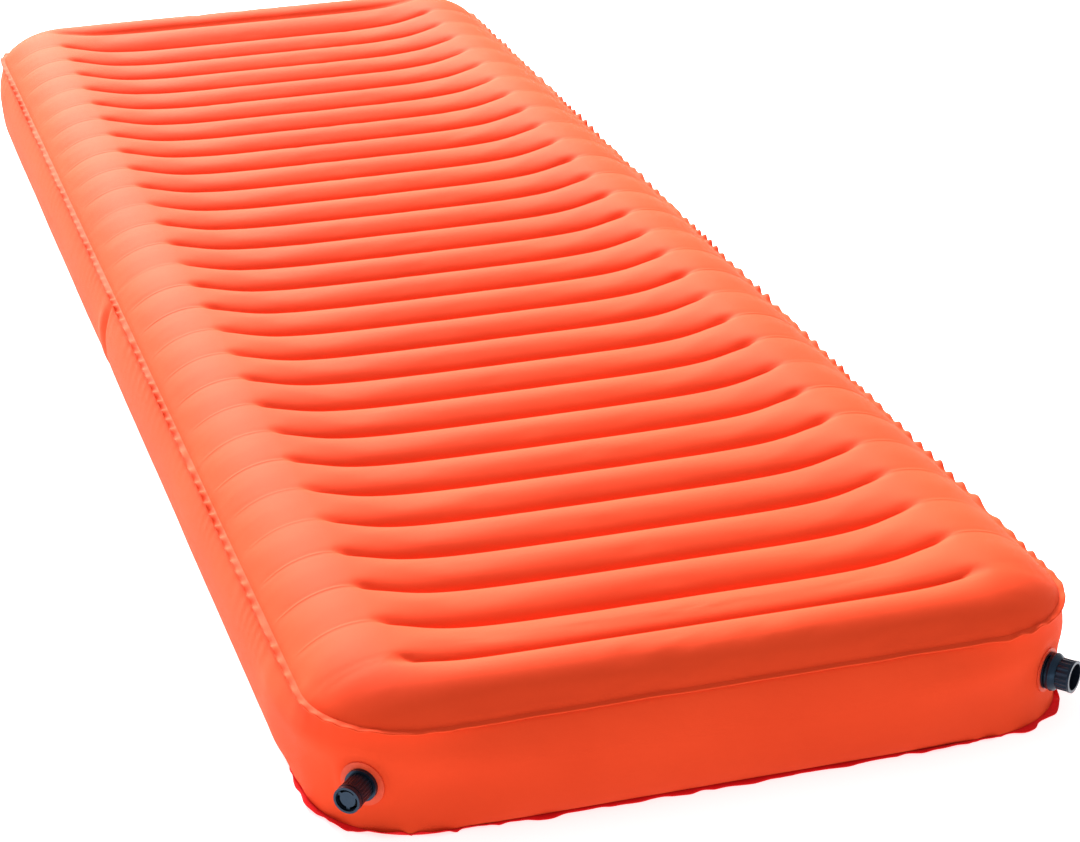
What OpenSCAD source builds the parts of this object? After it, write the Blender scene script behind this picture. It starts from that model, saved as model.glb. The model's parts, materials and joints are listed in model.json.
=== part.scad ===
// Inflatable box-wall sleeping pad: two sheets, a side wall, cross baffles and two twist valves.
// Origin: centre of the underside. +Y runs along the pad, with both valves at the -Y end. +Z is up.

/* [Pad] */
// Overall width, across the bulge of the side walls
pad_w = 648; // [630:1:700]
// Overall length, over the bulge of the end walls
pad_l = 1930; // [1910:1:1950]
// Height at the crest of the channels
pad_h = 118; // [110:1:130]
// Plan radius of the corners, at the seam
corner_r = 87; // [85:1:110]
// How far the side wall bulges out past its seams along the straight sides
bulge = 15; // [12:0.5:18]
// How far it bulges out at the corners, where the curve and the valves hold it in
corner_bulge = 0; // [0:0.5:6]
// Height of the seam between the top sheet and the side wall
seam_z = 89; // [84:1:92]
// Width of the welded margin that stands out of each seam
fin_w = 6; // [4:0.5:10]

/* [Channels] */
// Distance from one baffle to the next
pitch = 63.2; // [62.8:0.1:64]
// Depth of the grooves below the crests
groove_depth = 10; // [6:1:14]
// Width of each weld between a baffle and a sheet
weld_w = 8; // [6:1:12]
// Distance from each end of a baffle to the shoulder of the top sheet
baffle_gap = 10; // [6:1:40]

/* [Sheets] */
// Thickness of the top and bottom sheets
sheet_t = 1.5; // [1.2:0.1:2]
// Thickness of the side wall and of its welded margins
wall_t = 1.5; // [1.2:0.1:2]
// Thickness of a baffle's web and tabs
baffle_t = 1; // [0.8:0.1:1.5]

/* [Valves] */
// Angle of each valve round its corner, from the side wall towards the end wall
valve_angle = 50; // [45:1:55]
// Height of the centre of each valve
valve_z = 42; // [38:0.5:46]
// Radius of the welded valve flanges
flange_r = 18; // [17.5:0.5:20]
// Thickness of the welded valve flanges
flange_t = 1.2; // [1:0.1:2]
// Outer radius of the stem tubes, on which the caps turn
stem_r = 8.9; // [8.5:0.1:9.2]
// Radial clearance between a cap and its stem
cap_fit = 0.07; // [0.03:0.01:0.1]
// Number of flutes on the deflate cap
flute_count = 24; // [16:1:32]
// Number of ribs on the inflate cap
rib_count = 18; // [12:1:22]
// Radius of the pump socket in the inflate cap
socket_r = 10.8; // [10:0.1:11]

/* [Hidden] */
baffle_count = 29;
round_fn = 96;
half_w = pad_w / 2 - bulge;
half_l = pad_l / 2 - bulge;
deck_half_l = pitch * (baffle_count - 1) / 2;
shoulder_w = half_l - deck_half_l;
deck_half_w = half_w - shoulder_w;
deck_steps = 6;
weld_z = pad_h - groove_depth - sheet_t;
baffle_l = 2 * (deck_half_w - baffle_gap);

// Side wall: an arc between the two seams, which is shallower round the corners
wall_half_h = (seam_z - sheet_t) / 2;
wall_mid_z = sheet_t + wall_half_h;
wall_steps = 8;
corner_steps = 18;
// The bulge fades over this much of the straight side, and is least within flat_angle of the valve
fade_l = 70;
flat_angle = 16;

// Shoulder of the top sheet: level at the channels and steepest at the seam
shoulder_rise = pad_h - seam_z - sheet_t;
shoulder_r = (shoulder_w * shoulder_w + shoulder_rise * shoulder_rise) / (2 * shoulder_rise);

// Cuts run this far past what they cut
cut = 1;

// Valves: each stands on the outermost line of the wall at its corner
valve_reach = corner_r + corner_bulge;
valve_hole_r = 16.1;
hole_inner = -12;
hole_outer = 4;
skirt_r = 16;
skirt_l = 6;
stem_slip = 0.1;
cap_bore_r = stem_r + cap_fit;
stem_bore_r = 6.5;
air_bore_r = 6;
seal_r = 8;
seal_gap = 0.05;
ring_wire = 0.5;
ring_play = 0.02;
ring_groove_w = 1.2;
ring_groove_r = 7.9;

// Deflate valve, measured outwards from that line
d_stem_bottom = -8;
d_collar_r = 13;
d_collar_top = 4.5;
d_stem_top = 19;
d_ring_z = 15;
d_cap_bottom = 5;
d_cap_r = 10.8;
d_plate_bottom = 22;
d_plate_top = 25;
d_pin_top = 24;
d_pin_r = 2.5;
d_cap_top = 27;

// Inflate valve, measured the same way
i_stem_bottom = -12;
i_base_r = 15;
i_base_top = 5.7;
i_collar_top = 12;
i_stem_top = 12;
i_ring_z = 10.9;
i_cap_bottom = 12.4;
i_skirt_bottom = 7.5;
i_skirt_r = 11;
i_cap_r = 13;
i_lip_r = 13.25;
i_plate_bottom = 14.1;
i_plate_top = 16.7;
i_pin_top = 15.6;
i_pin_r = 2;
pin_play = 0.1;
i_cap_top = 24;
seat_top = -6.5;
seat_bottom = -8;
seat_slip = 0.05;
flap_post_r = 1.2;

function baffle_name(i) = str("baffle_", i < 10 ? "0" : "", i);

// A profile carried round the seam line: x is outwards from the seam and y is height.
module around_seam() {
    for (end = [0, 1]) {
        rotate([0, 0, 180 * end])
            translate([half_w, 0, 0])
                rotate([90, 0, 0])
                    linear_extrude(2 * (half_l - corner_r), center = true)
                        children();
        rotate([0, 0, 90 + 180 * end])
            translate([half_l, 0, 0])
                rotate([90, 0, 0])
                    linear_extrude(2 * (half_w - corner_r), center = true)
                        children();
    }
    for (quarter = [0 : 3])
        translate([
            (quarter == 0 || quarter == 3 ? 1 : -1) * (half_w - corner_r),
            (quarter < 2 ? 1 : -1) * (half_l - corner_r),
            0
        ])
            rotate([0, 0, 90 * quarter])
                rotate_extrude(angle = 90, $fn = round_fn)
                    translate([corner_r, 0])
                        children();
}

module rounded_outline(grow) {
    r = corner_r + grow;
    square([2 * (half_w - corner_r), 2 * (half_l + grow)], center = true);
    square([2 * (half_w + grow), 2 * (half_l - corner_r)], center = true);
    for (x = [-1, 1], y = [-1, 1])
        translate([x * (half_w - corner_r), y * (half_l - corner_r)])
            circle(r, $fn = round_fn);
}

// Moves what is drawn along +Z from the origin to the valve on one side: -1 left, 1 right.
module at_valve(side) {
    along = side > 0 ? -valve_angle : 180 + valve_angle;
    translate([
        side * (half_w - corner_r) + valve_reach * cos(along),
        -(half_l - corner_r) + valve_reach * sin(along),
        valve_z
    ])
        rotate([0, 0, along])
            rotate([0, 90, 0])
                children();
}

module tube(outer, inner, low, high) {
    translate([0, 0, low])
        difference() {
            cylinder(h = high - low, r = outer, $fn = round_fn);
            translate([0, 0, -cut])
                cylinder(h = high - low + 2 * cut, r = inner, $fn = round_fn);
        }
}

module disc(r, low, high) {
    translate([0, 0, low])
        cylinder(h = high - low, r = r, $fn = round_fn);
}

module ring_groove(centre) {
    tube(stem_r + cut, ring_groove_r, centre - ring_groove_w / 2, centre + ring_groove_w / 2);
}

module o_ring(centre) {
    translate([0, 0, centre])
        rotate_extrude($fn = round_fn)
            translate([ring_groove_r + ring_wire + ring_play, 0])
                circle(ring_wire, $fn = round_fn / 3);
}

// Three arc-shaped windows through a plate
module windows(inner, outer, low, high) {
    bridge = 3;
    difference() {
        tube(outer, inner, low, high);
        for (a = [0, 120, 240])
            rotate([0, 0, a])
                translate([0, -bridge / 2, low - cut])
                    cube([outer + cut, bridge, high - low + 2 * cut]);
    }
}

// Outline of a gripped cap: shallow valleys, evenly spaced
function grip_outline(count, r, depth) = [
    for (i = [0 : count * 6 - 1])
        let (a = 360 * i / (count * 6), rr = r - depth * (0.5 - 0.5 * cos(a * count)))
        [rr * cos(a), rr * sin(a)]
];

function smooth(t) = let (c = max(0, min(1, t))) c * c * (3 - 2 * c);

// Bulge at an angle round a corner from the side wall, or at a distance before it on either wall
function corner_bulge_at(angle, before) =
    let (
        turn = angle < valve_angle ? valve_angle - flat_angle - angle : angle - valve_angle - flat_angle,
        room = angle < valve_angle ? valve_angle - flat_angle : 90 - valve_angle - flat_angle,
        arc = corner_r * room * PI / 180,
        far = max(0, turn) / room * arc + before
    )
    corner_bulge + (bulge - corner_bulge) * smooth(far / (arc + fade_l));

// Stations along one corner, from the side wall to the end wall: [angle, distance before the corner]
corner_stations = concat(
    [for (k = [3 : -1 : 1]) [0, fade_l * k / 3]],
    [for (k = [0 : corner_steps]) [90 * k / corner_steps, 0]],
    [for (k = [1 : 3]) [90, fade_l * k / 3]]
);

// A station's point on the seam in the corner at +X +Y, with its outward direction and its bulge
function station(s) =
    let (angle = s[0], before = s[1])
    [
        half_w - corner_r + corner_r * cos(angle) - (angle == 90 ? before : 0),
        half_l - corner_r + corner_r * sin(angle) - (angle == 0 ? before : 0),
        cos(angle),
        sin(angle),
        corner_bulge_at(angle, before)
    ];

function flipped(q, sx, sy) = [q[0] * sx, q[1] * sy, q[2] * sx, q[3] * sy, q[4]];

// All stations anticlockwise round the pad
corner_pts = [for (s = corner_stations) station(s)];
corner_last = len(corner_pts) - 1;
wall_stations = concat(
    corner_pts,
    [for (i = [corner_last : -1 : 0]) flipped(corner_pts[i], -1, 1)],
    [for (q = corner_pts) flipped(q, -1, -1)],
    [for (i = [corner_last : -1 : 0]) flipped(corner_pts[i], 1, -1)]
);

function wall_offset(z, b) = b * (1 - pow((z - wall_mid_z) / wall_half_h, 2));

// The wall's section for a bulge b, as [outwards, height]: margins at both seams and a bowed web
function wall_section(b) =
    let (
        low = sheet_t,
        high = seam_z,
        web_low = low + wall_t,
        web_high = high - wall_t,
        web_z = [for (k = [0 : wall_steps]) web_low + (web_high - web_low) * k / wall_steps]
    )
    concat(
        [[-wall_t, low], [fin_w, low], [fin_w, web_low]],
        [for (z = web_z) [wall_offset(z, b), z]],
        [[fin_w, web_high], [fin_w, high], [-wall_t, high]],
        [for (k = [wall_steps : -1 : 0]) [wall_offset(web_z[k], b) - wall_t, web_z[k]]]
    );

module shoulder_profile() {
    intersection() {
        translate([-shoulder_w, pad_h - shoulder_r])
            difference() {
                circle(shoulder_r, $fn = 2 * round_fn);
                circle(shoulder_r - sheet_t, $fn = 2 * round_fn);
            }
        translate([-shoulder_w, seam_z])
            square([shoulder_w + sheet_t, pad_h - seam_z]);
    }
    translate([-2 * sheet_t, seam_z])
        square([fin_w + 2 * sheet_t, sheet_t]);
    translate([-shoulder_w, weld_z])
        square([sheet_t, pad_h - weld_z - sheet_t / 2]);
}

// Height of the channel roof at a fraction t of the way from one weld to the next
function roof_z(t) = weld_z + sheet_t + groove_depth * sin(180 * t);

function deck_line(drop) = [
    for (i = [0 : baffle_count - 2], k = [0 : deck_steps])
        let (y = -deck_half_l + i * pitch + weld_w / 2 + (pitch - weld_w) * k / deck_steps)
        [y, roof_z(k / deck_steps) - drop]
];

module deck() {
    upper = deck_line(0);
    lower = deck_line(sheet_t);
    edge = deck_half_l + sheet_t / 2;
    land = weld_z + sheet_t;
    rotate([90, 0, 90])
        linear_extrude(2 * deck_half_w + sheet_t, center = true)
            polygon(concat(
                [[-edge, land]],
                upper,
                [[edge, land], [edge, weld_z]],
                [for (i = [len(lower) - 1 : -1 : 0]) lower[i]],
                [[-edge, weld_z]]
            ));
}

module top_sheet() {
    color("orangered")
        union() {
            around_seam() shoulder_profile();
            deck();
        }
}

module bottom_sheet() {
    color("crimson")
        linear_extrude(sheet_t)
            rounded_outline(fin_w);
}

module wall_loop() {
    n = len(wall_section(bulge));
    m = len(wall_stations);
    points = [
        for (q = wall_stations, p = wall_section(q[4]))
            [q[0] + p[0] * q[2], q[1] + p[0] * q[3], p[1]]
    ];
    faces = [
        for (i = [0 : m - 1], k = [0 : n - 1])
            let (
                a = i * n + k,
                b = i * n + (k + 1) % n,
                c = ((i + 1) % m) * n + (k + 1) % n,
                d = ((i + 1) % m) * n + k
            )
            each [[a, b, c], [a, c, d]]
    ];
    polyhedron(points, faces, convexity = 6);
}

module side_wall() {
    color("tomato")
        difference() {
            wall_loop();
            for (side = [-1, 1])
                at_valve(side)
                    disc(valve_hole_r, hole_inner, hole_outer);
        }
}

// An I-section strip: a web with one tab welded to each sheet
module baffle(i) {
    y = -deck_half_l + (i - 1) * pitch;
    color("lightgray")
        translate([0, y, 0])
            rotate([90, 0, 90])
                linear_extrude(baffle_l, center = true)
                    union() {
                        translate([-baffle_t / 2, sheet_t])
                            square([baffle_t, weld_z - sheet_t]);
                        for (z = [sheet_t, weld_z - baffle_t])
                            translate([-weld_w / 2, z])
                                square([weld_w, baffle_t]);
                    }
}

module flange(side) {
    color("orangered")
        at_valve(side)
            difference() {
                union() {
                    disc(flange_r, 0, flange_t);
                    disc(skirt_r, -skirt_l, flange_t);
                }
                disc(stem_r + stem_slip, -skirt_l - cut, flange_t + cut);
            }
}

module deflate_flange() {
    flange(-1);
}

module deflate_stem() {
    color("black")
        at_valve(-1)
            difference() {
                union() {
                    disc(stem_r, d_stem_bottom, d_stem_top);
                    disc(d_collar_r, flange_t, d_collar_top);
                }
                disc(stem_bore_r, d_stem_bottom - cut, d_stem_top + cut);
                ring_groove(d_ring_z);
            }
}

module deflate_o_ring() {
    color("dimgray")
        at_valve(-1)
            o_ring(d_ring_z);
}

// Rubber disc that closes the stem, with a stub on which the cap turns
module deflate_seal() {
    disc_top = d_stem_top + 1.5;
    shoulder_top = d_plate_bottom - seal_gap;
    boss_r = 5;
    color("dimgray")
        at_valve(-1) {
            disc(seal_r, d_stem_top + seal_gap, disc_top);
            disc(boss_r, disc_top, shoulder_top);
            disc(d_pin_r, shoulder_top, d_pin_top);
        }
}

// Fluted cap: a smooth band, a narrow groove and a lip above the flutes, and a plate set into its end
module deflate_cap() {
    flute_top = 20.5;
    flute_depth = 0.6;
    band_top = 22.5;
    band_r = 11.1;
    neck_top = 23.2;
    neck_r = d_cap_r - 0.4;
    recess_r = d_cap_r - 1.8;
    color("black")
        at_valve(-1)
            difference() {
                union() {
                    translate([0, 0, d_cap_bottom])
                        linear_extrude(flute_top - d_cap_bottom)
                            polygon(grip_outline(flute_count, d_cap_r, flute_depth));
                    disc(band_r, flute_top, band_top);
                    disc(neck_r, band_top, neck_top);
                    disc(d_cap_r, neck_top, d_cap_top);
                }
                disc(cap_bore_r, d_cap_bottom - cut, d_plate_bottom);
                disc(recess_r, d_plate_top, d_cap_top + cut);
                disc(d_pin_r + cap_fit, d_plate_bottom - cut, d_pin_top + pin_play);
                windows(6.4, 8.6, d_plate_bottom - cut, d_plate_top + cut);
            }
}

module inflate_flange() {
    flange(1);
}

// Base ring with a slot in its rim, and the stem tube that carries the cap
module inflate_base() {
    slot_low = 2.6;
    slot_high = 4.4;
    slot_floor_r = 12.5;
    slot_edge = 2;
    color("black")
        at_valve(1)
            difference() {
                union() {
                    disc(stem_r, i_stem_bottom, i_stem_top);
                    disc(i_base_r, flange_t, i_base_top);
                }
                disc(stem_bore_r, i_stem_bottom - cut, seat_top);
                disc(air_bore_r, seat_top - cut, i_stem_top + cut);
                ring_groove(i_ring_z);
                intersection() {
                    tube(i_base_r + cut, slot_floor_r, slot_low, slot_high);
                    translate([-i_base_r, -i_base_r - slot_edge, 0])
                        cube([2 * i_base_r, i_base_r, i_base_top]);
                }
            }
}

// Ring with a low ridge and a conical shoulder, around the skirt of the cap
module inflate_collar() {
    ridge_r = 15.6;
    ridge_z = 7;
    shoulder_z = 9;
    rim_r = 12.4;
    well_r = i_skirt_r + 0.4;
    color("black")
        at_valve(1)
            rotate_extrude($fn = round_fn)
                polygon([
                    [stem_r + stem_slip, i_base_top],
                    [i_base_r, i_base_top],
                    [ridge_r, ridge_z],
                    [i_base_r, shoulder_z],
                    [rim_r, i_collar_top],
                    [well_r, i_collar_top],
                    [well_r, ridge_z],
                    [stem_r + stem_slip, ridge_z]
                ]);
}

module inflate_o_ring() {
    color("dimgray")
        at_valve(1)
            o_ring(i_ring_z);
}

// Spoked seat that the flap closes against
module inflate_seat() {
    post_hole_r = flap_post_r + pin_play;
    color("darkslategray")
        at_valve(1)
            difference() {
                disc(stem_bore_r - seat_slip, seat_bottom, seat_top);
                disc(post_hole_r, seat_bottom - cut, seat_top + cut);
                windows(2.6, 5.2, seat_bottom - cut, seat_top + cut);
            }
}

// Mushroom-shaped check flap: its head opens inwards and its button keeps it in the seat
module inflate_flap() {
    head_r = 5.8;
    head_t = 1.2;
    button_r = 2.1;
    button_bottom = -5.2;
    button_top = -4.4;
    color("gray")
        at_valve(1) {
            disc(head_r, seat_bottom - head_t, seat_bottom - seal_gap);
            disc(flap_post_r, seat_bottom - head_t / 2, button_top);
            disc(button_r, button_bottom, button_top);
        }
}

// Rubber disc in the inflate cap, built like the deflate seal
module inflate_seal() {
    disc_top = i_stem_top + 1.3;
    shoulder_top = i_plate_bottom - seal_gap;
    boss_r = 4;
    color("dimgray")
        at_valve(1) {
            disc(seal_r, i_stem_top + seal_gap, disc_top);
            disc(boss_r, disc_top, shoulder_top);
            disc(i_pin_r, shoulder_top, i_pin_top);
        }
}

// Ribbed cap: a skirt inside the collar, a plate over the seal, and a pump socket in its end
module inflate_cap() {
    rib_top = 22;
    rib_depth = 0.9;
    color("black")
        at_valve(1)
            difference() {
                union() {
                    disc(i_skirt_r, i_skirt_bottom, i_cap_bottom);
                    translate([0, 0, i_cap_bottom])
                        linear_extrude(rib_top - i_cap_bottom)
                            polygon(grip_outline(rib_count, i_cap_r, rib_depth));
                    disc(i_lip_r, rib_top, i_cap_top);
                }
                disc(cap_bore_r, i_skirt_bottom - cut, i_plate_bottom);
                disc(socket_r, i_plate_top, i_cap_top + cut);
                disc(i_pin_r + cap_fit, i_plate_bottom - cut, i_pin_top + pin_play);
                windows(5, 8.6, i_plate_bottom - cut, i_plate_top + cut);
            }
}

top_sheet();
bottom_sheet();
side_wall();
for (i = [1 : baffle_count])
    baffle(i);
deflate_flange();
deflate_stem();
deflate_o_ring();
deflate_seal();
deflate_cap();
inflate_flange();
inflate_base();
inflate_collar();
inflate_o_ring();
inflate_seat();
inflate_flap();
inflate_seal();
inflate_cap();
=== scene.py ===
"""Inflatable sleeping pad: fabric envelope, valves, studio and camera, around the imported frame."""
import json
import math

import bpy
import numpy as np
from mathutils import Euler, Matrix, Vector


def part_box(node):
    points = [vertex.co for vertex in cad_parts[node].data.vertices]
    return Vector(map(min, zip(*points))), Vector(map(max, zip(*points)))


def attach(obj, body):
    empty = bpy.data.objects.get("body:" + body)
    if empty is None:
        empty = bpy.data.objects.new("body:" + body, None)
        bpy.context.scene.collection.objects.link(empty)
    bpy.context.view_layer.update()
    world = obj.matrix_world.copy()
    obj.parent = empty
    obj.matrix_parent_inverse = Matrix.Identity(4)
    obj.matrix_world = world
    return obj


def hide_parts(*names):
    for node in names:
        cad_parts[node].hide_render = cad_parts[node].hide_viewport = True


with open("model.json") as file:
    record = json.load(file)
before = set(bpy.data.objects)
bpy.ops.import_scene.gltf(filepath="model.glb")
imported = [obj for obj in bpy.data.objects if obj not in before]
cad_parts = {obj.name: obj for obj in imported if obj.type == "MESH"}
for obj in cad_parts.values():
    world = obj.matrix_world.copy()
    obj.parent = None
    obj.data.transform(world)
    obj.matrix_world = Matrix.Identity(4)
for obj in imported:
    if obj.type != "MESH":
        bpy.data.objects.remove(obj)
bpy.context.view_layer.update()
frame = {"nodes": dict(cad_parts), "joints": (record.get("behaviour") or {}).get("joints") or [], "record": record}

# ---------------------------------------------------------------- sizes in metres, from the frame
TOP_LOW, TOP_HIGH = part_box("top_sheet")
WALL_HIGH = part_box("side_wall")[1]
FIRST_LOW, FIRST_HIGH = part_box("baffle_01")
LAST_LOW, LAST_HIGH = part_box("baffle_29")
# As in the CAD: margin width, sheet thickness and the seam's corner radius
CAD_FIN = 0.006
SHEET_T = 0.0015
CORNER_R = 0.087
HALF_W = TOP_HIGH.x - CAD_FIN
HALF_L = TOP_HIGH.y - CAD_FIN
BULGE = WALL_HIGH.x - HALF_W
SEAM_Z = TOP_LOW.z
WELD_COUNT = 29
FIRST_WELD = (FIRST_LOW.y + FIRST_HIGH.y) / 2
LAST_WELD = (LAST_LOW.y + LAST_HIGH.y) / 2
PITCH = (LAST_WELD - FIRST_WELD) / (WELD_COUNT - 1)
WELD_HALF_L = FIRST_HIGH.x
SHOULDER_W = HALF_L + FIRST_WELD
# The skin's crests stand a little above the CAD's round the edge, and its grooves are deeper
CREST_Z = TOP_HIGH.z + 0.001
SHOULDER_RISE = CREST_Z - SEAM_Z
GROOVE = 0.014
# The deck inside the edge chambers lies lower than they do
SINK = 0.012
FABRIC_T = 0.0006
# The wall is flat for this angle each side of a valve, then its bulge fades in over this length
FLAT_ANGLE = math.radians(16)
FADE_L = 0.07
TWISTS = {joint["name"]: joint for joint in frame["joints"] if joint["name"].endswith("_twist")}
VALVE_AXES = [Vector(TWISTS[name]["axis"]).normalized() for name in ("deflate_twist", "inflate_twist")]
VALVE_Z = TWISTS["deflate_twist"]["pos_m"][2]


# ---------------------------------------------------------------- small helpers
def smooth(t):
    """0 below 0, 1 above 1 and an even curve between."""
    c = np.clip(t, 0, 1)
    return c * c * (3 - 2 * c)


def hashed(n, seed):
    """Repeatable values from 0 to 1 for whole numbers."""
    return np.mod(np.sin(np.asarray(n, float) * 127.1 + seed * 311.7) * 43758.5453, 1.0)


def noise2(x, y, seed):
    """Smooth repeatable noise over a plane, from -1 to 1."""
    kx, ky = np.floor(x), np.floor(y)
    tx, ty = smooth(x - kx), smooth(y - ky)

    def corner(i, j):
        return hashed((kx + i) * 57.0 + (ky + j) * 131.0, seed)

    low = corner(0, 0) * (1 - tx) + corner(1, 0) * tx
    high = corner(0, 1) * (1 - tx) + corner(1, 1) * tx
    return 2 * (low * (1 - ty) + high * ty) - 1


def coordinates(mesh):
    """Every vertex of a mesh, one row each."""
    co = np.empty(len(mesh.vertices) * 3)
    mesh.vertices.foreach_get("co", co)
    return co.reshape(-1, 3)


def valve_crown(axis):
    """The point on the seam's corner arc where a valve's axis crosses it, at valve height."""
    centre = np.array([math.copysign(STRAIGHT_X, axis.x), -STRAIGHT_Y, VALVE_Z])
    return centre + CORNER_R * np.array(axis)


def mesh_piece(name, points, faces):
    mesh = bpy.data.meshes.new(name)
    mesh.from_pydata([tuple(p) for p in points], [], [tuple(int(i) for i in f) for f in faces])
    mesh.validate()
    mesh.update()
    mesh.polygons.foreach_set("use_smooth", [True] * len(mesh.polygons))
    piece = bpy.data.objects.new(name, mesh)
    bpy.context.scene.collection.objects.link(piece)
    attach(piece, "pad")
    return piece


def grid_faces(rows, cols, start=0, wrap=False):
    """Quads over a grid of rows by cols; wrap joins the last column to the first."""
    i, j = np.meshgrid(np.arange(rows - 1), np.arange(cols if wrap else cols - 1), indexing="ij")
    k = (j + 1) % cols
    quads = np.stack([i * cols + j, i * cols + k, (i + 1) * cols + k, (i + 1) * cols + j], -1)
    return (start + quads.reshape(-1, 4)).tolist()


# ---------------------------------------------------------------- plan: deck grid and seam
INNER_R = CORNER_R - SHOULDER_W
STRAIGHT_X = HALF_W - CORNER_R
STRAIGHT_Y = HALF_L - CORNER_R
CORNER_CELLS = 16
COLUMNS = 44
# Rows across half a channel, as fractions from the weld to the crest: closest at the weld
CHANNEL_STOPS = np.array([0, 0.03, 0.065, 0.11, 0.17, 0.25, 0.35, 0.47, 0.61, 0.77, 0.9])


def with_corners(middle, straight):
    """Stops along a side: the given ones over its straight part, and close even ones in the corners."""
    corner = straight + INNER_R * np.arange(1, CORNER_CELLS + 1) / CORNER_CELLS
    return np.concatenate([-corner[::-1], [-straight], middle, [straight], corner])


def channel_rows():
    half = PITCH / 2
    offsets = np.concatenate([-CHANNEL_STOPS[:0:-1], CHANNEL_STOPS, [1]]) * half
    rows = (FIRST_WELD + PITCH * np.arange(WELD_COUNT)[:, None] + offsets[None, :]).ravel()
    return rows[np.abs(rows) < STRAIGHT_Y - 0.001]


XS = with_corners(np.linspace(-STRAIGHT_X, STRAIGHT_X, COLUMNS + 1)[1:-1], STRAIGHT_X)
YS = with_corners(channel_rows(), STRAIGHT_Y)


def rounded(x, y):
    """Moves the square corners of the deck's grid onto the rounded inner corner."""
    a = np.clip((np.abs(x) - STRAIGHT_X) / INNER_R, 0, None)
    b = np.clip((np.abs(y) - STRAIGHT_Y) / INNER_R, 0, None)
    r = np.maximum(a, b)
    both = (a > 0) & (b > 0)
    safe = np.where(r > 0, r, 1)
    turn = np.where(a >= b, math.pi / 4 * b / safe, math.pi / 2 - math.pi / 4 * a / safe)
    rx = STRAIGHT_X + INNER_R * r * np.cos(turn)
    ry = STRAIGHT_Y + INNER_R * r * np.sin(turn)
    return np.where(both, np.sign(x) * rx, x), np.where(both, np.sign(y) * ry, y)


def rim_indices():
    """The deck grid's outline as (row, column), anticlockwise seen from above."""
    m, n = len(YS), len(XS)
    return ([(0, j) for j in range(n - 1)] + [(i, n - 1) for i in range(m - 1)]
            + [(m - 1, j) for j in range(n - 1, 0, -1)] + [(i, 0) for i in range(m - 1, 0, -1)])


RIM = rim_indices()


class Seam:
    """Stations round the seam line: place, outward direction, length along it, and how it behaves there."""

    CORNER_REACH = 0.11

    def __init__(self, x, y, nx, ny):
        self.x, self.y, self.nx, self.ny = x, y, nx, ny
        step = np.hypot(np.diff(x, append=x[:1]), np.diff(y, append=y[:1]))
        self.along = np.concatenate([[0], np.cumsum(step)[:-1]])
        self.n = len(x)
        from_corner = np.hypot(np.clip(STRAIGHT_X - np.abs(x), 0, None),
                               np.clip(STRAIGHT_Y - np.abs(y), 0, None))
        self.corner = smooth(1 - from_corner / self.CORNER_REACH)
        self.long_side = smooth((STRAIGHT_Y + 0.02 - np.abs(y)) / 0.06)
        # 1 on the long sides and round the corners, 0 along the middle of each short side
        self.lively = 1 - smooth((STRAIGHT_X + 0.03 - np.abs(x)) / 0.07) * (np.abs(ny) > 0.5)

    def noise(self, step, seed):
        """Noise that closes on itself where the line does."""
        turns = max(1, round(self.length() / step))
        x = self.along / self.length() * turns
        k = np.floor(x)
        t = smooth(x - k)
        return 2 * (hashed(k % turns, seed) * (1 - t) + hashed((k + 1) % turns, seed) * t) - 1

    def length(self):
        return 4 * (STRAIGHT_X + STRAIGHT_Y) + 2 * math.pi * CORNER_R

    def puckers(self, step, seed):
        """Gathers along the seam, from -1 to 1: a wave whose length and strength wander."""
        turns = round(self.length() / step)
        phase = self.along / self.length() * turns + 0.9 * self.noise(step * 4.3, seed)
        return np.sin(2 * math.pi * phase) * (0.6 + 0.4 * self.noise(step * 2.6, seed + 1))


def rim_seam():
    """The seam at the outline points of the deck's grid."""
    px, py = rounded(np.array([XS[j] for _, j in RIM]), np.array([YS[i] for i, _ in RIM]))
    cx, cy = np.clip(px, -STRAIGHT_X, STRAIGHT_X), np.clip(py, -STRAIGHT_Y, STRAIGHT_Y)
    length = np.hypot(px - cx, py - cy)
    nx, ny = (px - cx) / length, (py - cy) / length
    return Seam(cx + CORNER_R * nx, cy + CORNER_R * ny, nx, ny)


def fine_seam(step):
    """The seam at close, even steps, from the same starting point and in the same direction."""
    angle, x, y = [], [], []
    for i, (sx, sy) in enumerate(((-1, -1), (1, -1), (1, 1), (-1, 1))):
        start = math.pi * (1 + i / 2)
        count = max(2, round(math.pi / 2 * CORNER_R / step))
        turns = start + math.pi / 2 * np.arange(count) / count
        angle += [turns]
        x += [np.full(count, sx * STRAIGHT_X)]
        y += [np.full(count, sy * STRAIGHT_Y)]
        ex, ey = ((1, -1), (1, 1), (-1, 1), (-1, -1))[i]
        span = math.hypot(ex * STRAIGHT_X - sx * STRAIGHT_X, ey * STRAIGHT_Y - sy * STRAIGHT_Y)
        count = max(2, round(span / step))
        t = np.arange(count) / count
        angle += [np.full(count, start + math.pi / 2)]
        x += [sx * STRAIGHT_X + (ex - sx) * STRAIGHT_X * t]
        y += [sy * STRAIGHT_Y + (ey - sy) * STRAIGHT_Y * t]
    angle, x, y = (np.concatenate(v) for v in (angle, x, y))
    nx, ny = np.cos(angle), np.sin(angle)
    return Seam(x + CORNER_R * nx, y + CORNER_R * ny, nx, ny)


RING = rim_seam()
FINE = fine_seam(0.0019)
WALL = fine_seam(0.0032)


# ---------------------------------------------------------------- top sheet
# A groove starts this far past its weld and reaches its depth over the ramp; its end wanders by the spread
GROOVE_LEAD = 0.014
GROOVE_RAMP = 0.034
END_SPREAD = 0.006
# How much of the end chamber's width falls to the last weld, and how domed a channel's section is
END_TUBE_SHARE = 0.62
DOME_SHARE = 0.42
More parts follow.
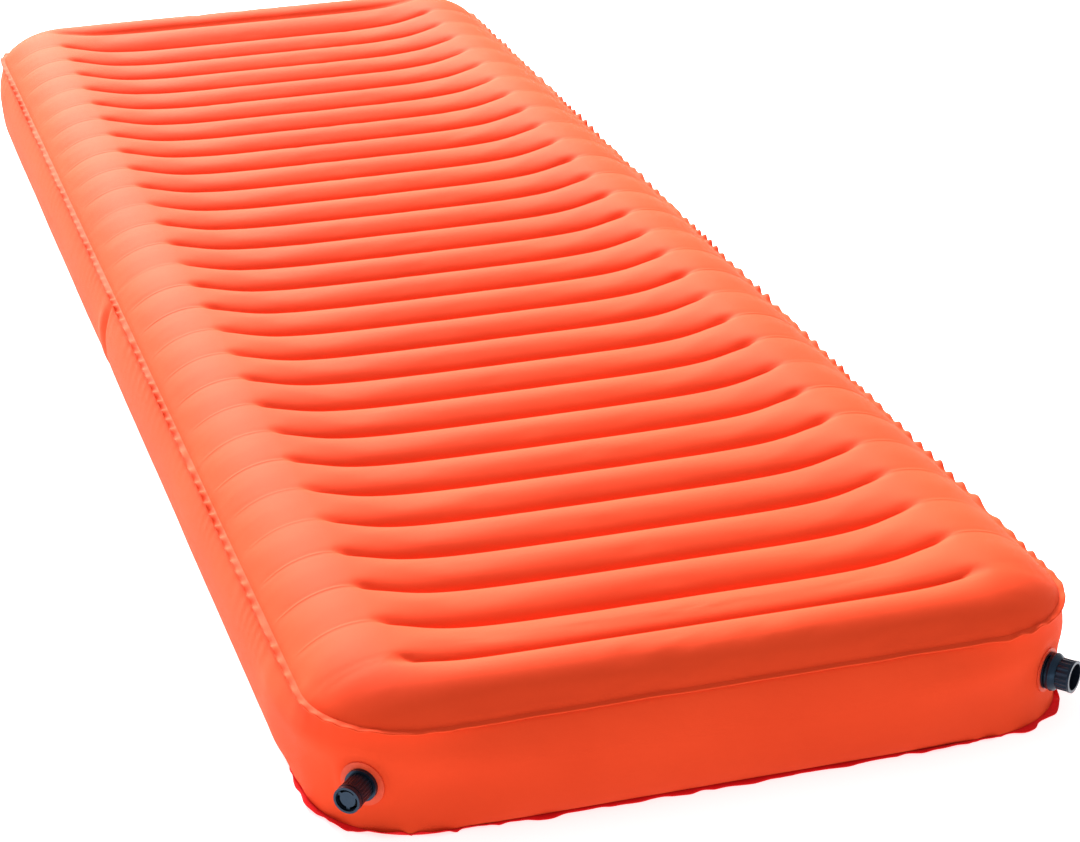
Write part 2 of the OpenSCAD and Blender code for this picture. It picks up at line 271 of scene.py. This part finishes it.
# The deck sinks from just past the welds' ends, over this width, and from just past the last weld
SINK_LEAD_X, SINK_RAMP_X = 0.008, 0.055
SINK_LEAD_Y, SINK_RAMP_Y = 0.022, 0.075
DIMPLE = 0.0028
CREASE = 0.0006
WRINKLE = 0.00022
DRIFT = 0.0009


def weld_distance(y):
    """Distance along the pad to the nearest weld, and that weld's number."""
    k = np.clip(np.round((y - FIRST_WELD) / PITCH), 0, WELD_COUNT - 1)
    return np.abs(y - (FIRST_WELD + k * PITCH)), k


def arc_and_dome(t, width, rise, share):
    """Rise from 0 at t=0 to 1 at t=1: part circular arc, part quarter ellipse."""
    r = (width * width + rise * rise) / (2 * rise)
    arc = (np.sqrt(r * r - ((1 - t) * width) ** 2) - (r - rise)) / rise
    dome = np.sqrt(np.clip(1 - (1 - t) ** 2, 0, 1))
    return (1 - share) * arc + share * dome


def groove_drop(x, y):
    """How far the skin lies below the crest in a channel, fading out past the weld's ends."""
    dist, k = weld_distance(y)
    t = np.clip(dist / (PITCH / 2), 0, 1)
    end_tube = np.abs(y) > LAST_WELD
    t = np.where(end_tube, np.clip(dist / (SHOULDER_W * END_TUBE_SHARE), 0, 1), t)
    inwards = WELD_HALF_L - np.abs(x) + END_SPREAD * (hashed(k, 5.0 + (x > 0)) - 0.5)
    depth = 1 - np.exp(-(np.clip(inwards + GROOVE_LEAD, 0, None) / GROOVE_RAMP) ** 1.8)
    return GROOVE * depth * (1 - arc_and_dome(t, PITCH / 2, GROOVE, DOME_SHARE))


def deck_sink(x, y):
    """How far the baffled middle lies below the chambers round the edge."""
    across = 1 - np.exp(-(np.clip(WELD_HALF_L + SINK_LEAD_X - np.abs(x), 0, None) / SINK_RAMP_X) ** 1.6)
    return SINK * across * smooth((LAST_WELD + SINK_LEAD_Y - np.abs(y)) / SINK_RAMP_Y)


def top_height(x, y, inset):
    """Height of the skin at a place that lies inset from the seam (or further in)."""
    dist, k = weld_distance(y)
    end = np.abs(x) - WELD_HALF_L
    lively = 0.6 + 0.8 * hashed(k, 3.0 + (x > 0))
    dimple = DIMPLE * lively * np.exp(-((end + 0.004) / 0.012) ** 2 - (dist / 0.007) ** 2)
    fade = smooth((end + 0.006) / 0.03) * smooth((inset - 0.003) / 0.012)
    crease = CREASE * (np.exp(-(dist / 0.0014) ** 2) - np.exp(-(dist / 0.006) ** 2)) * fade * lively
    between = CREASE * (1 - np.cos(2 * math.pi * dist / PITCH)) * (np.abs(y) < LAST_WELD) * fade
    near_seam = smooth(end / 0.02) * smooth((0.045 - inset) / 0.03)
    wrinkle = WRINKLE * noise2(inset / 0.030, y / 0.0065, 9.0) * near_seam
    drift = DRIFT * noise2(x / 0.19, y / 0.27, 8.0) * smooth(inset / 0.05)
    u = (1 - np.clip(inset / SHOULDER_W, 0, 1)) ** 2.4
    shoulder = SHOULDER_RISE * (0.8 * u + 0.2 * (1 - np.sqrt(1 - u)))
    low = shoulder + groove_drop(x, y) + deck_sink(x, y) + dimple
    return CREST_Z - low + crease + between + wrinkle + drift


def sheet_points(height, insets):
    """Points and faces of a sheet: the deck's grid, then rings out to the seam."""
    gx, gy = np.meshgrid(XS, YS)
    px, py = rounded(gx, gy)
    points = [np.stack([px, py, height(px, py, np.full(px.shape, SHOULDER_W))], -1).reshape(-1, 3)]
    for d in insets:
        x, y = RING.x - RING.nx * d, RING.y - RING.ny * d
        points.append(np.stack([x, y, height(x, y, np.full(RING.n, d))], -1))
    deck = len(XS) * len(YS)
    rim = np.array([i * len(XS) + j for i, j in RIM])
    first = deck + np.arange(RING.n)
    joining = np.stack([np.roll(rim, -1), rim, first, np.roll(first, -1)], -1).tolist()
    rings = [q[::-1] for q in grid_faces(len(insets), RING.n, start=deck, wrap=True)]
    return np.concatenate(points), grid_faces(len(YS), len(XS)) + joining + rings


MARGIN_T = 0.0012
MARGIN_STOPS = (0.0, 0.25, 0.5, 0.75, 1.0)


def with_margin(points, faces, rows):
    """Adds the welded margin: a fine closed strip, given as rows of (outwards, height) on its upper side."""
    rows = rows + [(out, z - MARGIN_T) for out, z in rows[::-1]]
    strip = [np.stack([FINE.x + FINE.nx * out, FINE.y + FINE.ny * out, z + np.zeros(FINE.n)], -1)
             for out, z in rows]
    more = [q[::-1] for q in grid_faces(len(rows), FINE.n, start=len(points), wrap=True)]
    return np.concatenate([points] + strip), faces + more


def top_insets():
    """Distances in from the seam: closest at the seam, where the shoulder is steepest."""
    t = np.linspace(1, 0, 17)[1:]
    return SHOULDER_W * (0.45 * t + 0.55 * t * t)


def build_top():
    gather = (0.8 * FINE.puckers(0.0230, 21.0) + 0.35 * FINE.noise(0.012, 25.0)) * FINE.lively
    gather *= 1 - 0.45 * FINE.corner
    slow = FINE.noise(0.03, 23.0)
    reach = CAD_FIN * (0.68 + 0.24 * FINE.lively * (1 - 0.6 * FINE.corner) + 0.12 * gather)
    rows = [(-0.003, SEAM_Z + 0.0006)]
    for t in MARGIN_STOPS:
        rows.append((reach * t, SEAM_Z + 0.0010 + (0.0034 * gather + 0.0005 * slow - 0.0006) * t ** 0.7))
    return mesh_piece("pad_top", *with_margin(*sheet_points(top_height, top_insets()), rows))


# ---------------------------------------------------------------- bottom sheet
BOTTOM_SEAM_Z = 0.0022


def bottom_height(x, y, inset):
    """The base's height: nearly flat, lifted a little along the welds and at the seam."""
    dist, _ = weld_distance(y)
    weld = 0.0008 * np.exp(-(dist / 0.004) ** 2) * (1 - smooth((np.abs(x) - WELD_HALF_L) / 0.01))
    return FABRIC_T + weld + (BOTTOM_SEAM_Z - FABRIC_T) * (1 - smooth(inset / 0.014))


def build_bottom():
    insets = SHOULDER_W * np.array([0.8, 0.6, 0.42, 0.3, 0.21, 0.14, 0.08, 0.04, 0])
    lobes = 0.8 * FINE.noise(0.018, 51.0) + 0.4 * FINE.noise(0.010, 53.0)
    width = 0.76 - 0.42 * FINE.long_side - 0.10 * FINE.corner
    reach = CAD_FIN * (width + (0.34 + 0.30 * FINE.corner) * lobes)
    lift = np.abs(FINE.noise(0.017, 57.0)) * (0.0006 + 0.0042 * FINE.corner)
    rows = [(-0.004, BOTTOM_SEAM_Z)]
    for t in MARGIN_STOPS:
        rows.append((reach * t, BOTTOM_SEAM_Z + (lift - 0.0008) * t))
    return mesh_piece("pad_bottom", *with_margin(*sheet_points(bottom_height, insets), rows))


# ---------------------------------------------------------------- baffles, one under each weld
BAFFLE_COLUMNS = 48


def build_baffle(number):
    """A sheet from the bottom sheet up to the underside of the weld above it."""
    x = np.linspace(-WELD_HALF_L, WELD_HALF_L, BAFFLE_COLUMNS + 1)
    y = np.full(len(x), FIRST_WELD + PITCH * (number - 1))
    high = top_height(x, y, np.full(len(x), SHOULDER_W)) - SHEET_T
    rows = [np.stack([x, y, SHEET_T + (high - SHEET_T) * t], -1) for t in (0, 0.5, 1)]
    return mesh_piece(f"sheet_{number:02d}", np.concatenate(rows), grid_faces(len(rows), len(x)))


# ---------------------------------------------------------------- side wall
JOINT_Y = 0.0
VALVE_HOLE = 0.0135
WALL_ROWS = 25
# The wall lies flat out to the first radius round a valve and is free past both; this deep at most
PATCH_R, PATCH_FADE, PATCH_DEPTH = 0.017, 0.012, 0.03


def wall_bulge():
    """How far the wall stands out at mid height at each station, as in the CAD."""
    valve_angle = math.atan2(abs(VALVE_AXES[0].y), abs(VALVE_AXES[0].x))
    angle = np.arctan2(np.abs(WALL.ny), np.abs(WALL.nx))
    before = np.where(np.abs(WALL.nx) > 0.9999, STRAIGHT_Y - np.abs(WALL.y),
                      np.where(np.abs(WALL.ny) > 0.9999, STRAIGHT_X - np.abs(WALL.x), 0))
    low = angle < valve_angle
    turn = np.where(low, valve_angle - FLAT_ANGLE - angle, angle - valve_angle - FLAT_ANGLE)
    room = np.where(low, valve_angle - FLAT_ANGLE, math.pi / 2 - valve_angle - FLAT_ANGLE)
    far = np.clip(turn, 0, None) / room * CORNER_R * room + np.clip(before, 0, None)
    return BULGE * smooth(far / (CORNER_R * room + FADE_L))


def lap_joint(t):
    """The overlap welded down the left wall: a narrow valley beside a slightly proud lip."""
    along = WALL.y - JOINT_Y + 0.010 * (t - 0.5)
    valley = 0.0048 * np.exp(-(along / 0.009) ** 2)
    lip = 0.0012 * smooth(along / 0.003) * (1 - smooth((along - 0.016) / 0.02))
    return (WALL.nx < -0.999) * (valley - lip) * math.sin(math.pi * t) ** 0.7


def build_wall():
    bulge = wall_bulge()
    low, high = BOTTOM_SEAM_Z + 0.0002, SEAM_Z + 0.0006
    gather_top, gather_low = WALL.puckers(0.0215, 21.0) * WALL.lively, WALL.noise(0.021, 51.0)
    rows = []
    for t in 0.5 - 0.5 * np.cos(np.linspace(0, math.pi, WALL_ROWS)):
        edge = min(t, 1 - t) * (high - low)
        profile = (1 - (2 * t - 1) ** 2) ** (0.62 if t < 0.5 else 0.8)
        fold = math.exp(-edge / 0.012) * min(1, edge / 0.003)
        gather = gather_top * 0.0006 if t > 0.5 else gather_low * 0.0009 * (0.3 + WALL.corner)
        slow = 0.0007 * WALL.noise(0.13, 71.0) * math.sin(math.pi * t)
        upper = 0.004 * WALL.corner * math.exp(-((t - 0.72) / 0.17) ** 2) * math.sin(math.pi * t) ** 0.5
        rows.append((bulge * profile + gather * fold - lap_joint(t) + slow + upper, low + (high - low) * t))
    rings = [(WALL.x + WALL.nx * out, WALL.y + WALL.ny * out, np.full(WALL.n, z)) for out, z in rows]
    points = np.concatenate([np.stack(ring, -1) for ring in rings])
    faces = np.array(grid_faces(len(rows), WALL.n, wrap=True))
    for axis in VALVE_AXES:
        offset = points - valve_crown(axis)
        depth = offset @ np.array(axis)
        radial = np.linalg.norm(offset - depth[:, None] * np.array(axis), axis=1)
        pull = (1 - smooth((radial - PATCH_R) / PATCH_FADE)) * (np.abs(depth) < PATCH_DEPTH)
        points -= (pull * (depth + 0.0003))[:, None] * np.array(axis)
        in_hole = (radial[faces].max(1) < VALVE_HOLE) & (np.abs(depth[faces]).max(1) < PATCH_DEPTH)
        faces = faces[~in_hole]
    return mesh_piece("pad_wall", points, faces.tolist())


# ---------------------------------------------------------------- cloth: air on slack fabric
CLOTH_FRAMES = 10
CLOTH_REACH = 0.0010
SLACK = 0.0015
PRESSURE = 1.0


def inflate(piece, pinned, share):
    """Runs a short cloth simulation, keeps that share of its shape, and leaves no modifier behind."""
    group = piece.vertex_groups.new(name="held")
    for value in np.unique(pinned):
        group.add(np.flatnonzero(pinned == value).tolist(), float(value), "REPLACE")
    before = coordinates(piece.data)
    cloth = piece.modifiers.new("cloth", "CLOTH")
    settings = cloth.settings
    settings.quality = 3
    settings.mass = 0.002
    settings.tension_stiffness = settings.compression_stiffness = 12
    settings.shear_stiffness = 4
    settings.bending_stiffness = 0.3
    settings.air_damping = 4
    settings.vertex_group_mass = group.name
    settings.shrink_min = -SLACK
    settings.use_pressure = True
    settings.uniform_pressure_force = PRESSURE
    settings.effector_weights.gravity = 0
    cloth.collision_settings.use_collision = False
    cloth.point_cache.frame_end = CLOTH_FRAMES
    scene = bpy.context.scene
    for number in range(1, CLOTH_FRAMES + 1):
        scene.frame_set(number)
    shape = piece.evaluated_get(bpy.context.evaluated_depsgraph_get()).to_mesh()
    moved = coordinates(shape) - before
    length = np.linalg.norm(moved, axis=1, keepdims=True)
    moved *= share[:, None] * CLOTH_REACH * np.tanh(length / CLOTH_REACH) / np.maximum(length, 1e-9)
    piece.modifiers.remove(cloth)
    scene.frame_set(1)
    piece.data.vertices.foreach_set("co", (before + moved).ravel())
    piece.vertex_groups.remove(group)
    piece.data.update()
    print("cloth", piece.name, "moved mm: mean", round(float(length.mean()) * 1000, 2),
          "largest", round(float(length.max()) * 1000, 2))


def inflate_top(piece):
    """Held along the welds, at the seam and over the margin; the crests between them take up the air."""
    x, y, z = coordinates(piece.data).T
    dist, _ = weld_distance(y)
    on_weld = (dist < 0.0008) & (np.abs(x) < WELD_HALF_L - 0.004)
    pinned = np.where(on_weld | (z < SEAM_Z + 0.0035), 1.0, 0.0)
    share = smooth((dist - 0.006) / 0.018) * smooth((WELD_HALF_L - 0.01 - np.abs(x)) / 0.05)
    inflate(piece, pinned, share)


# ---------------------------------------------------------------- materials
WEAVE_PER_M = 800


def new_material(name, colour, roughness, **sockets):
    """A material, its nodes and links, and its shader with the named sockets set."""
    material = bpy.data.materials.new(name)
    material.use_nodes = True
    nodes, links = material.node_tree.nodes, material.node_tree.links
    shader = nodes["Principled BSDF"]
    shader.inputs["Base Color"].default_value = (*colour, 1)
    shader.inputs["Roughness"].default_value = roughness
    for socket, value in sockets.items():
        shader.inputs[socket.replace("_", " ")].default_value = value
    return material, nodes, links, shader


def place_node(nodes):
    return nodes.new("ShaderNodeTexCoord").outputs["Object"]


def noise_node(nodes, links, scale, detail=3.0):
    node = nodes.new("ShaderNodeTexNoise")
    node.inputs["Scale"].default_value = scale
    node.inputs["Detail"].default_value = detail
    links.new(place_node(nodes), node.inputs["Vector"])
    return node.outputs["Fac"]


def mixed_colour(nodes, links, factor, low, high, shader):
    ramp = nodes.new("ShaderNodeValToRGB")
    ramp.color_ramp.elements[0].color = (*low, 1)
    ramp.color_ramp.elements[1].color = (*high, 1)
    ramp.color_ramp.elements[0].position = 0.3
    ramp.color_ramp.elements[1].position = 0.7
    links.new(factor, ramp.inputs["Fac"])
    links.new(ramp.outputs["Color"], shader.inputs["Base Color"])


def weave_height(nodes, links, threads_per_m):
    """Plain weave: two crossed sets of fine ridges."""
    add = nodes.new("ShaderNodeMath")
    add.operation = "ADD"
    for i, direction in enumerate(("X", "Y")):
        wave = nodes.new("ShaderNodeTexWave")
        wave.bands_direction = direction
        wave.inputs["Scale"].default_value = threads_per_m
        links.new(place_node(nodes), wave.inputs["Vector"])
        links.new(wave.outputs["Fac"], add.inputs[i])
    return add.outputs[0]


def bump(nodes, links, height, distance, strength, shader, before=None):
    node = nodes.new("ShaderNodeBump")
    node.inputs["Distance"].default_value = distance
    node.inputs["Strength"].default_value = strength
    links.new(height, node.inputs["Height"])
    if before is not None:
        links.new(before, node.inputs["Normal"])
    links.new(node.outputs["Normal"], shader.inputs["Normal"])
    return node.outputs["Normal"]


def fabric(name, low, high, roughness, sheen, tint):
    material, nodes, links, shader = new_material(
        name, high, roughness, Specular_IOR_Level=0.03, Specular_Tint=(*tint, 1), Sheen_Weight=sheen,
        Sheen_Roughness=0.5, Sheen_Tint=(*tint, 1))
    mixed_colour(nodes, links, noise_node(nodes, links, 7.0), low, high, shader)
    first = bump(nodes, links, weave_height(nodes, links, WEAVE_PER_M), 0.0001, 0.3, shader)
    bump(nodes, links, noise_node(nodes, links, 240.0), 0.0002, 0.25, shader, before=first)
    return material


def plastic(name, low, high, roughness, specular=0.5, grain=900.0, tint=(1, 1, 1)):
    material, nodes, links, shader = new_material(name, high, roughness, Specular_IOR_Level=specular,
                                                  Specular_Tint=(*tint, 1))
    mixed_colour(nodes, links, noise_node(nodes, links, 220.0), low, high, shader)
    bump(nodes, links, noise_node(nodes, links, grain, 2.0), 0.00006, 0.3, shader)
    return material


FABRIC_TINT = (1, 0.66, 0.34)
BASE_TINT = (1, 0.5, 0.45)
WHITE = (1, 1, 1)
VALVE_TINT = (0.35, 0.62, 1)
MATERIALS = {
    "pad_fabric": fabric("pad_fabric", (0.71, 0.053, 0.016), (0.77, 0.062, 0.019), 0.65, 0.05, FABRIC_TINT),
    "base_fabric": fabric("base_fabric", (0.74, 0.010, 0.014), (0.82, 0.014, 0.018), 0.55, 0.08, BASE_TINT),
    "baffle_fabric": fabric("baffle_fabric", (0.62, 0.60, 0.55), (0.70, 0.68, 0.63), 0.7, 0.1, WHITE),
    "valve_flange": plastic("valve_flange", (0.72, 0.064, 0.022), (0.78, 0.075, 0.027), 0.5, 0.2),
    "valve_body": plastic("valve_body", (0.003, 0.006, 0.011), (0.006, 0.011, 0.020), 0.28, 0.45,
                          tint=VALVE_TINT),
    "valve_cap": plastic("valve_cap", (0.004, 0.006, 0.010), (0.008, 0.010, 0.016), 0.3, 0.45,
                         tint=VALVE_TINT),
    "valve_seat": plastic("valve_seat", (0.05, 0.055, 0.06), (0.07, 0.075, 0.08), 0.5),
    "seal_rubber": plastic("seal_rubber", (0.012, 0.012, 0.012), (0.02, 0.02, 0.02), 0.7, 0.3, 500.0),
    "flap_rubber": plastic("flap_rubber", (0.30, 0.30, 0.28), (0.36, 0.36, 0.34), 0.65, 0.3, 500.0),
}


def finish_piece(piece, slot, node):
    piece.data.materials.append(MATERIALS[slot])
    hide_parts(node)


def dress_cad_nodes():
    """Every CAD node that stays takes its slot's material in place of the plain one."""
    for part in frame["record"]["subparts"]:
        node = frame["nodes"][part["node"]]
        node.data.materials.clear()
        node.data.materials.append(MATERIALS[part["material_slot"]])


# ---------------------------------------------------------------- studio
FLOOR_HALF = 14.0
FLOOR_GREY = 0.68
# The floor glows though it is no lamp: painted light that washes out the pad's cast shadow on the floor and lights
# the pad's walls from below
FLOOR_GLOW = 0.70
SURROUND = 0.66
KEY_PLACE = (-1.0, 10.1, 6.6)
KEY_AIM = (0, -0.1, 0)
KEY_SIZE = (5.0, 3.4)
KEY_WATTS = 7000


def build_floor():
    mesh = bpy.data.meshes.new("floor")
    h = FLOOR_HALF
    mesh.from_pydata([(-h, -h, 0), (h, -h, 0), (h, h, 0), (-h, h, 0)], [], [(0, 1, 2, 3)])
    floor = bpy.data.objects.new("floor", mesh)
    bpy.context.scene.collection.objects.link(floor)
    # Emission here is painted light: a white glow that fills in the pad's shadow on the floor
    material, nodes, links, shader = new_material("floor", (FLOOR_GREY,) * 3, 1.0, Specular_IOR_Level=0.0,
                                                  Emission_Color=(1, 1, 1, 1), Emission_Strength=FLOOR_GLOW)
    low, high = (FLOOR_GREY - 0.01,) * 3, (FLOOR_GREY + 0.01,) * 3
    mixed_colour(nodes, links, noise_node(nodes, links, 2.0), low, high, shader)
    mesh.materials.append(material)


def area_light(name, place, target, size, watts):
    data = bpy.data.lights.new(name, "AREA")
    data.shape = "RECTANGLE"
    data.size, data.size_y = size
    data.energy = watts
    lamp = bpy.data.objects.new(name, data)
    lamp.location = place
    lamp.rotation_euler = (Vector(target) - Vector(place)).to_track_quat("-Z", "Y").to_euler()
    bpy.context.scene.collection.objects.link(lamp)


def build_studio():
    build_floor()
    area_light("key", KEY_PLACE, KEY_AIM, KEY_SIZE, KEY_WATTS)
    world = bpy.data.worlds.new("studio")
    world.use_nodes = True
    background = world.node_tree.nodes["Background"]
    background.inputs["Color"].default_value = (1, 1, 1, 1)
    background.inputs["Strength"].default_value = SURROUND
    bpy.context.scene.world = world
    bpy.context.scene.view_settings.view_transform = "Standard"


CAMERA_PLACE = (-0.6781, -2.7709, 1.1596)
HEADING, TILT, ROLL = math.radians(16.40), math.radians(23.74), math.radians(-0.97)
SENSOR_MM = 36
LENS_MM = 97.53


def build_camera():
    """A long lens from the left of the valve end, looking down along the pad."""
    data = bpy.data.cameras.new("camera")
    data.sensor_width = SENSOR_MM
    data.lens = LENS_MM
    camera = bpy.data.objects.new("camera", data)
    look = Euler((math.pi / 2 - TILT, 0, -HEADING), "XYZ").to_matrix()
    camera.matrix_world = (Matrix.Translation(CAMERA_PLACE)
                           @ (look @ Matrix.Rotation(ROLL, 3, "Z")).to_4x4())
    bpy.context.scene.collection.objects.link(camera)
    bpy.context.scene.camera = camera


# ---------------------------------------------------------------- the scene
top, wall, bottom = build_top(), build_wall(), build_bottom()
inflate_top(top)
dress_cad_nodes()
finish_piece(top, "pad_fabric", "top_sheet")
finish_piece(wall, "pad_fabric", "side_wall")
finish_piece(bottom, "base_fabric", "bottom_sheet")
for number in range(1, WELD_COUNT + 1):
    finish_piece(build_baffle(number), "baffle_fabric", f"baffle_{number:02d}")
build_studio()
build_camera()
